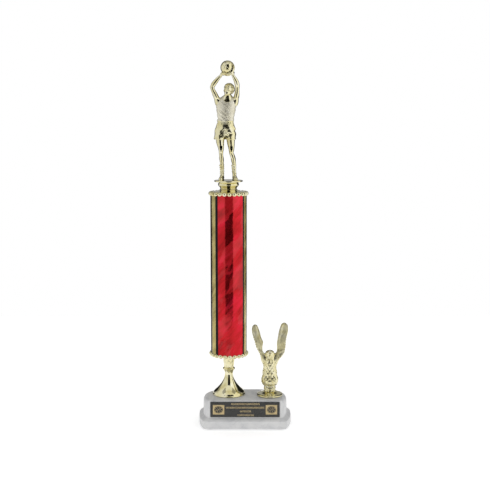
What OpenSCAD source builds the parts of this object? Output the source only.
// Sports trophy: a player shooting a ball stands on a foil-wrapped column, beside an eagle
// trim figure, on a cast marble base. One threaded rod, with a nut at each end, clamps the
// column stack to the base. The player screws onto the rod's free end, over the upper nut,
// and a machine screw from below holds the eagle. Both figures can be turned on their threads.
// Frame: origin at the centre of the footprint on the resting surface, +Z up, front towards -Y.

/* [Base] */
// Height of the rubber feet
foot_h = 1.5; // [1:0.5:3]
// Height of the cast marble base
base_h = 34; // [32:1:40]
// Height of the plinth's upright edge
plinth_h = 9.5; // [8:0.5:11]
// Half width of the plinth where its sides bow out
plinth_x = 57; // [56:0.5:60]
// Half depth of the plinth
plinth_y = 33; // [32:0.5:36]
// Half width of the block above the plinth
block_x = 51.5; // [50:0.5:53]
// Radius along the block's top edge
block_round = 6; // [3:0.5:7]

/* [Name plate] */
// Width of the engraved plate
plate_w = 84.5; // [70:0.5:86]
// Height of the engraved plate
plate_h = 18.8; // [16:0.1:19.5]

/* [Column] */
// Distance of the column's axis left of the base's centre
column_x = 20; // [18:0.5:22]
// Outer radius of the wrapped column
column_r = 22.2; // [21:0.1:23]
// Length of the column tube
column_l = 199.8; // [100:0.1:305]
// Number of beads round each cap
beads = 22; // [20:1:24]
// Radius of one bead
bead_r = 2.65; // [2.4:0.05:2.7]
// Height of the riser under the column
riser_h = 49.7; // [48:0.1:60]
// Radius of the riser's foot
riser_r = 20.2; // [18:0.1:22]

/* [Player] */
// Radius of the plate under the player's feet
figure_plate_r = 17.4; // [16:0.1:20]
// Radius of the ball
ball_r = 8.5; // [8:0.1:9]

/* [Eagle] */
// Distance of the eagle's axis right of the base's centre
eagle_x = 30.7; // [30:0.1:32]
// Radius of the eagle's round stand
stand_r = 16; // [14:0.1:17]

/* [Fasteners] */
// Radius of the column rod, a quarter-inch thread's major radius
rod_r = 3.175; // [2.9:0.005:3.2]
// Radius of the eagle's screw
screw_r = 2.4; // [2:0.05:2.5]

/* [Hidden] */
$fn = 64;
hull_fn = 20;
eps = 0.01;

// Base outlines: half widths at the flat front, and how far back each outline is widest
front_slope = 2 / 21;
plinth_front_x = 50.5;
plinth_mid_y = 2;
block_front_x = 45;
block_mid_y = -3;
block_back_y = 27;
block_front_y = 29;
block_foot_z = 13;
base_top = foot_h + base_h;
outline_steps = 10;

// Axes of the column and of the eagle
column_pos = [-column_x, 3, 0];
eagle_pos = [eagle_x, -3, 0];
counterbore_h = 9;
rod_counterbore_r = 12;
screw_counterbore_r = 8.5;
hole_gap = 0.22;
thread_gap = 0.06;
turning_gap = 0.2;

// Column stack, from the base's top upwards
wrap_t = 0.2;
tube_t = 2;
cap_t = 1.8;
cap_wall = 1.1;
seat_gap = 0.1;
bead_offset = 0.6;
tray_depth = 3.2;
riser_top = base_top + riser_h;
tube_bottom = riser_top + cap_t;
tube_top = tube_bottom + column_l;
dome_h = 4.7;
dome_top = tube_top + dome_h;
dome_r = 10.4;
pedestal_bottom = dome_top + turning_gap;
pedestal_h = 8.7;
plate_bottom = pedestal_bottom + pedestal_h;
figure_plate_t = 1.8;
figure_z = plate_bottom + figure_plate_t;

// Riser profile
riser_wall = 1.5;
flange_r = 17.6;
flange_h = 5.5;
neck_r = 5.3;
neck_h = 28.8;
flare_power = 1.75;
flare_steps = 12;

// Fasteners
nut_af = 11.1;
nut_h = 5.6;
jam_nut_h = 3.6;
washer_t = 1.4;
stack_washer_t = 1;
lock_t = 1.6;
rod_nut_z = foot_h + counterbore_h - washer_t - lock_t - nut_h;
rod_bottom = rod_nut_z + 0.2;
pot_cavity_r = 8.4;
pot_cavity_h = 5;
rod_top = plate_bottom - 0.3;
rod_point = 0.5;
insert_r = 3.6;
insert_h = 9;
stand_h = 5.2;
screw_head_r = 4.6;
screw_head_h = 3.2;
screw_tip_z = base_top + insert_h - 0.6;

// Name plate
tape_gap = 0.02;
tape_t = 0.8;
plate_t = 0.6;
plate_z = foot_h + 23.2;

// Player's skeleton, from the centre of the plate's top: [point, radius] along each limb, and
// the middle and half width of the shorts' waist and hems
right_arm = [[[-12, 0, 94.5], 3.8], [[-15.8, -1.4, 103], 3.2], [[-19.6, -2.6, 111.2], 2.5],
             [[-14.5, -3.6, 118.5], 2.4], [[-8.6, -4.6, 124.6], 1.6], [[-5.6, -5, 126.6], 2]];
left_arm = [[[8.6, 0, 93.5], 3.8], [[10.4, -1.6, 102], 3.1], [[11, -3.2, 111.2], 2.5],
            [[9.6, -4, 119], 2.4], [[6.6, -4.8, 126], 1.6], [[6, -5, 129.6], 2]];
right_leg = [[[-8.6, 0, 58], 5.2], [[-10.2, -0.6, 47.3], 4.6], [[-8.9, -1.2, 34.7], 3.1],
             [[-8.3, 0.6, 25], 3.1], [[-7.7, 0.8, 14], 2.2]];
left_leg = [[[3, 0, 58], 5.2], [[2.8, -0.6, 47.3], 4.6], [[3.5, -1.2, 34.3], 3.2],
            [[6, 0.6, 24.5], 3.2], [[6.8, 0.8, 14.5], 2.3]];
right_foot = [[[-7.6, 1.4, 5], 2.7], [[-9.8, -6.4, 1.8], 2.3]];
left_foot = [[[7, 1.4, 5], 2.7], [[9.4, -6.4, 1.8], 2.3]];
shorts_waist = [-3.45, 9.7];
shorts_legs = [[-10.7, 6.3], [2.9, 6]];
ball_at = [-0.7, -5, 134];

// Eagle's wing, seen from the front: its inner edge upwards, the rounded tip, its outer edge down
wing_outline = [[1, 47], [6, 51], [8.5, 57.5], [8.1, 68], [10.5, 80], [13, 88.5], [17.3, 91.7],
                [22, 88.5], [23, 84], [21.3, 72], [19, 60.4], [15, 49.7], [10, 43], [8, 38.5], [1, 36]];
wing_t = 2.6;

// --- outlines -----------------------------------------------------------------------------

// Right half of a base outline: flat front, a side that bows out to mid_x, and a rounded back
function half_outline(front_x, front_y, mid_x, mid_y, back_y, power) = concat(
    [for (i = [0 : outline_steps - 1])
        let (u = 1 - i / outline_steps)
        [mid_x - (mid_x - front_x) * u * u, mid_y + (front_y - mid_y) * u]],
    [for (i = [0 : outline_steps])
        let (a = 90 * i / outline_steps)
        [mid_x * pow(cos(a), 2 / power), mid_y + (back_y - mid_y) * pow(sin(a), 2 / power)]]
);

// The whole outline, by mirroring the half
function outline(half) = concat(half, [for (i = [len(half) - 2 : -1 : 0]) [-half[i][0], half[i][1]]]);

function block_outline(z, inset) = outline(half_outline(
    block_front_x - 0.15 * inset, -block_front_y + (z - block_foot_z) * front_slope,
    block_x - inset, block_mid_y, block_back_y - inset, 3));

function plinth_outline(inset) = outline(half_outline(
    plinth_front_x - inset, -plinth_y + inset, plinth_x - inset, plinth_mid_y, plinth_y - inset, 4));

// Radius of the riser's flared skirt, from the flange (t = 0) to the neck (t = 1)
function flare_r(t) = neck_r + (flange_r - neck_r) * pow(1 - t, flare_power);

riser_outer = concat(
    [[riser_r, 0], [riser_r, 1.2], [flange_r, flange_h]],
    [for (i = [1 : flare_steps])
        let (t = i / flare_steps)
        [flare_r(t), flange_h + (neck_h - flange_h) * t]],
    [[6.4, 31], [7.2, 32.4], [7.1, 33.4], [5.9, 35.2], [6.4, 39.5], [7.2, 43.5], [7.8, riser_h]]
);

// --- shared shapes ------------------------------------------------------------------------

module slice(points, z) {
    translate([0, 0, z]) linear_extrude(eps) polygon(points);
}

module chain(points) {
    for (i = [0 : len(points) - 2])
        hull() {
            translate(points[i][0]) sphere(points[i][1], $fn = hull_fn);
            translate(points[i + 1][0]) sphere(points[i + 1][1], $fn = hull_fn);
        }
}

module ring(outer, inner, height) {
    difference() {
        cylinder(r = outer, h = height);
        translate([0, 0, -1]) cylinder(r = inner, h = height + 2);
    }
}

// Beaded tray that takes one end of the column: floor downwards, seat upwards
module beaded_tray(hole) {
    difference() {
        union() {
            cylinder(r = column_r + seat_gap + cap_wall, h = cap_t + tray_depth);
            for (i = [0 : beads - 1])
                rotate([0, 0, 360 * (i + 0.5) / beads])
                    translate([column_r - 0.2, 0, cap_t + bead_offset]) sphere(bead_r);
        }
        translate([0, 0, cap_t]) cylinder(r = column_r + seat_gap, h = tray_depth + 2);
        translate([0, 0, -1]) cylinder(r = hole, h = cap_t + 2);
    }
}

// Hexagonal nut with both rims of its corners chamfered
module hex_nut(bore, height) {
    difference() {
        intersection() {
            cylinder(r = nut_af / sqrt(3), h = height, $fn = 6);
            rotate_extrude()
                polygon([[0, 0], [nut_af / 2, 0], [nut_af / 2 + 1.4, 0.8],
                         [nut_af / 2 + 1.4, height - 0.8], [nut_af / 2, height], [0, height]]);
        }
        translate([0, 0, -1]) cylinder(r = bore, h = height + 2);
    }
}

// --- base ---------------------------------------------------------------------------------

module marble_base() {
    color("gainsboro")
    difference() {
        translate([0, 0, foot_h]) {
            linear_extrude(plinth_h) polygon(plinth_outline(0));
            hull() {
                slice(plinth_outline(0), plinth_h - eps);
                slice(plinth_outline(4), block_foot_z);
            }
            hull() {
                slice(block_outline(0, 0), 0);
                for (a = [0 : 15 : 90])
                    slice(block_outline(base_h - block_round * (1 - sin(a)), block_round * (1 - cos(a))),
                          base_h - block_round * (1 - sin(a)) - eps);
            }
        }
        translate(column_pos) {
            cylinder(r = rod_r + hole_gap, h = 200, center = true);
            translate([0, 0, foot_h - 1]) cylinder(r = rod_counterbore_r, h = counterbore_h + 1);
        }
        translate(eagle_pos) {
            cylinder(r = screw_r + hole_gap, h = 200, center = true);
            translate([0, 0, foot_h - 1]) cylinder(r = screw_counterbore_r, h = counterbore_h + 1);
        }
    }
}

module rubber_feet() {
    color("dimgray")
    for (x = [-42, 42], y = [-24, 23])
        translate([x, y, 0]) {
            cylinder(r1 = 4.2, r2 = 5, h = foot_h / 2);
            translate([0, 0, foot_h / 2]) cylinder(r = 5, h = foot_h / 2);
        }
}

// Places a flat piece on the leaning front panel, its back face on the panel
module on_panel(lift) {
    translate([0, -block_front_y + (plate_z - foot_h - block_foot_z) * front_slope, plate_z])
        rotate([atan(front_slope) * -1, 0, 0])
            translate([0, -lift - tape_gap, 0]) children();
}

module plate_tape() {
    color("white")
    on_panel(tape_t / 2) cube([plate_w - 3, tape_t, plate_h - 3], center = true);
}

module name_plate() {
    color("black")
    on_panel(tape_t + plate_t / 2) cube([plate_w, plate_t, plate_h], center = true);
}

// --- column -------------------------------------------------------------------------------

module riser() {
    color("gold")
    translate(column_pos + [0, 0, base_top])
        difference() {
            rotate_extrude() polygon(concat([[0, 0]], riser_outer, [[0, riser_h]]));
            // hollow under the skirt, closed at the top by a thin plate with the rod's hole
            rotate_extrude()
                polygon(concat(
                    [[0, -1], [riser_r - riser_wall, -1]],
                    [for (p = riser_outer) if (p[1] < riser_h - 2) [p[0] - riser_wall, p[1]]],
                    [[5.6, riser_h - 2], [0, riser_h - 2]]));
            cylinder(r = rod_r + hole_gap, h = 200, center = true);
        }
}

module lower_cap() {
    color("gold")
    translate(column_pos + [0, 0, riser_top]) beaded_tray(rod_r + hole_gap);
}

module column_tube() {
    color("tan")
    translate(column_pos + [0, 0, tube_bottom])
        ring(column_r - wrap_t, column_r - wrap_t - tube_t, column_l);
}

module column_wrap() {
    color("crimson")
    translate(column_pos + [0, 0, tube_bottom]) ring(column_r, column_r - wrap_t, column_l);
}

module upper_cap() {
    wall = 1.5;
    steps = 6;
    dome = [for (i = [0 : steps])
        let (t = i / steps)
        [dome_r + 9 * pow(1 - t, 2), cap_t + (dome_h - cap_t) * t]];
    color("gold")
    translate(column_pos + [0, 0, tube_top]) {
        mirror([0, 0, 1]) translate([0, 0, -cap_t]) beaded_tray(18);
        difference() {
            rotate_extrude() polygon(concat([[0, 0], [dome[0][0], 0]], dome, [[0, dome_h]]));
            rotate_extrude()
                polygon([[0, -1], [18, -1], [17, 0.6], [10.5, dome_h - wall], [0, dome_h - wall]]);
            cylinder(r = rod_r + hole_gap, h = 40, center = true);
        }
    }
}

module column_rod() {
    color("silver")
    translate(column_pos)
        rotate_extrude()
            polygon([[0, rod_bottom], [rod_r - rod_point, rod_bottom], [rod_r, rod_bottom + rod_point],
                     [rod_r, rod_top - rod_point], [rod_r - rod_point, rod_top], [0, rod_top]]);
}

module rod_washer() {
    color("silver")
    translate(column_pos + [0, 0, foot_h + counterbore_h - washer_t])
        ring(9.5, rod_r + hole_gap, washer_t);
}

// Split spring washer, with its ends a small gap apart
module rod_lock_washer() {
    color("silver")
    translate(column_pos + [0, 0, foot_h + counterbore_h - washer_t - lock_t])
        difference() {
            ring(6.2, rod_r + hole_gap, lock_t);
            rotate([0, 20, -40]) translate([0, -0.4, -5]) cube([12, 0.8, 12]);
        }
}

module rod_nut() {
    color("silver")
    translate(column_pos + [0, 0, rod_nut_z]) hex_nut(rod_r + thread_gap, nut_h);
}

// Washer and thin nut on the dome, inside the player's cup: they clamp the column stack
module stack_washer() {
    color("silver")
    translate(column_pos + [0, 0, dome_top]) ring(7.4, rod_r + hole_gap, stack_washer_t);
}

module stack_nut() {
    color("silver")
    translate(column_pos + [0, 0, dome_top + stack_washer_t])
        hex_nut(rod_r + thread_gap, jam_nut_h);
}

// --- eagle's fixing -----------------------------------------------------------------------

module trim_screw() {
    head_z = foot_h + counterbore_h - washer_t - screw_head_h;
    color("silver")
    translate(eagle_pos + [0, 0, head_z]) {
        difference() {
            union() {
                translate([0, 0, 1.2]) cylinder(r = screw_head_r, h = screw_head_h - 1.2);
                cylinder(r1 = screw_head_r - 1.2, r2 = screw_head_r, h = 1.2);
            }
            for (a = [0, 90])
                rotate([0, 0, a]) cube([5, 1, 3.2], center = true);
        }
        translate([0, 0, screw_head_h])
            cylinder(r = screw_r, h = screw_tip_z - head_z - screw_head_h);
    }
}

module trim_washer() {
    color("silver")
    translate(eagle_pos + [0, 0, foot_h + counterbore_h - washer_t])
        ring(6.35, screw_r + hole_gap, washer_t);
}

// --- player -------------------------------------------------------------------------------

// Round cup under the plate: its hollow goes over the upper nut, and the captive nut sits above
module figure_pedestal() {
    color("gold")
    translate(column_pos + [0, 0, pedestal_bottom])
        difference() {
            rotate_extrude()
                polygon([[0, 0], [9.9, 0], [10.2, 1.4], [11, 2.3], [12.1, 3.6], [12.7, 5.2],
                         [12.6, 6.4], [12, 7.6], [11.6, pedestal_h], [0, pedestal_h]]);
            translate([0, 0, -1]) cylinder(r = pot_cavity_r, h = pot_cavity_h + 1);
            cylinder(r = nut_af / sqrt(3), h = pedestal_h + 1, $fn = 6);
        }
}

// Captive nut, flush with the top of the cup
module figure_insert() {
    color("goldenrod")
    translate(column_pos + [0, 0, plate_bottom - jam_nut_h]) hex_nut(rod_r + thread_gap, jam_nut_h);
}

module figure_plate() {
    color("gold")
    translate(column_pos + [0, 0, plate_bottom])
        rotate_extrude()
            polygon([[0, 0], [figure_plate_r - 1, 0], [figure_plate_r, 0.8],
                     [figure_plate_r - 0.4, figure_plate_t], [0, figure_plate_t]]);
}

module torso() {
    hull() {
        for (p = [[-9.6, 0, 90], [-7.2, 0.4, 73], [1.8, 0.4, 73], [5.4, 0, 90]])
            translate(p) sphere(5, $fn = hull_fn);
        for (p = [[-12, 0, 94], [8.4, 0, 93]]) translate(p) sphere(3.4, $fn = hull_fn);
    }
}

module shorts() {
    for (leg = shorts_legs)
        hull() {
            translate([shorts_waist[0], 0.4, 66])
                scale([shorts_waist[1], 6, 1]) cylinder(r = 1, h = 5, $fn = hull_fn);
            translate([leg[0], 0, 49]) scale([leg[1], 6.3, 1]) cylinder(r = 1, h = 2, $fn = hull_fn);
        }
}

module head() {
    hull() {
        translate([1.6, 0.6, 108.8]) sphere(6.4, $fn = hull_fn);
        translate([-2, -2.6, 104.4]) sphere(3.8, $fn = hull_fn);
    }
    chain([[[-1, 0.4, 95], 4], [[0.6, 0.2, 103], 3.4]]);
}

module player_figure() {
    color("gold")
    translate(column_pos + [0, 0, figure_z])
        difference() {
            union() {
                torso();
                shorts();
                head();
                for (limb = [right_arm, left_arm, right_leg, left_leg]) chain(limb);
                chain([right_leg[4], right_foot[0], right_foot[1]]);
                chain([left_leg[4], left_foot[0], left_foot[1]]);
            }
            translate(ball_at) sphere(ball_r + 0.1, $fn = 48);
            translate([0, 0, -10]) cube([80, 80, 20], center = true);
        }
}

module basketball() {
    color("gold")
    translate(column_pos + [0, 0, figure_z] + ball_at) sphere(ball_r);
}

// --- eagle --------------------------------------------------------------------------------

module eagle_stand() {
    color("gold")
    translate(eagle_pos + [0, 0, base_top + turning_gap])
        difference() {
            rotate_extrude()
                polygon([[0, 0], [stand_r, 0], [stand_r, 1.8], [stand_r - 0.8, 2.5], [13, 3.3],
                         [10, 4.4], [7.5, stand_h], [0, stand_h]]);
            rotate_extrude()
                polygon([[5.4, -1], [stand_r - 1.6, -1], [stand_r - 1.6, 0.9], [10, 2.7], [5.4, 3.5]]);
            cylinder(r = insert_r, h = 20, center = true);
        }
}

module eagle_insert() {
    color("goldenrod")
    translate(eagle_pos + [0, 0, base_top + turning_gap])
        ring(insert_r, screw_r + thread_gap, insert_h);
}

module wing() {
    rotate([90, 0, 0]) translate([0, 0, -wing_t]) linear_extrude(wing_t) polygon(wing_outline);
}

module eagle_figure() {
    color("gold")
    translate(eagle_pos + [0, 0, base_top + turning_gap + stand_h])
        difference() {
            translate([0, 0, -stand_h]) {
                // breast, belly and thighs
                hull() {
                    translate([0.4, 0, 38]) sphere(7.4, $fn = hull_fn);
                    translate([0.4, 0.4, 27]) sphere(8.2, $fn = hull_fn);
                }
                for (x = [-4.4, 5.2]) {
                    chain([[[x, -0.4, 24], 6.2], [[x, -0.8, 16.5], 5.4], [[x * 0.8, -1.6, 8], 3.2],
                           [[x * 0.8, -5, 6.4], 1.8]]);
                }
                // tail
                chain([[[0.4, 5, 24], 4], [[0.4, 8, 8.4], 3]]);
                // neck, head and beak
                chain([[[0.4, -0.6, 44], 6], [[0.2, -1.6, 51.8], 5.2], [[0.2, -6.4, 50], 1.6]]);
                // rock under the claws
                cylinder(r1 = 7, r2 = 5.8, h = 14);
                wing();
                mirror([1, 0, 0]) wing();
            }
            translate([0, 0, -20]) cube([80, 80, 40], center = true);
            translate([0, 0, -1]) cylinder(r = insert_r + 0.1, h = insert_h - stand_h + 1);
        }
}

marble_base();
rubber_feet();
plate_tape();
name_plate();
riser();
lower_cap();
column_tube();
column_wrap();
upper_cap();
column_rod();
rod_washer();
rod_lock_washer();
rod_nut();
stack_washer();
stack_nut();
trim_screw();
trim_washer();
figure_pedestal();
figure_insert();
figure_plate();
player_figure();
basketball();
eagle_stand();
eagle_insert();
eagle_figure();
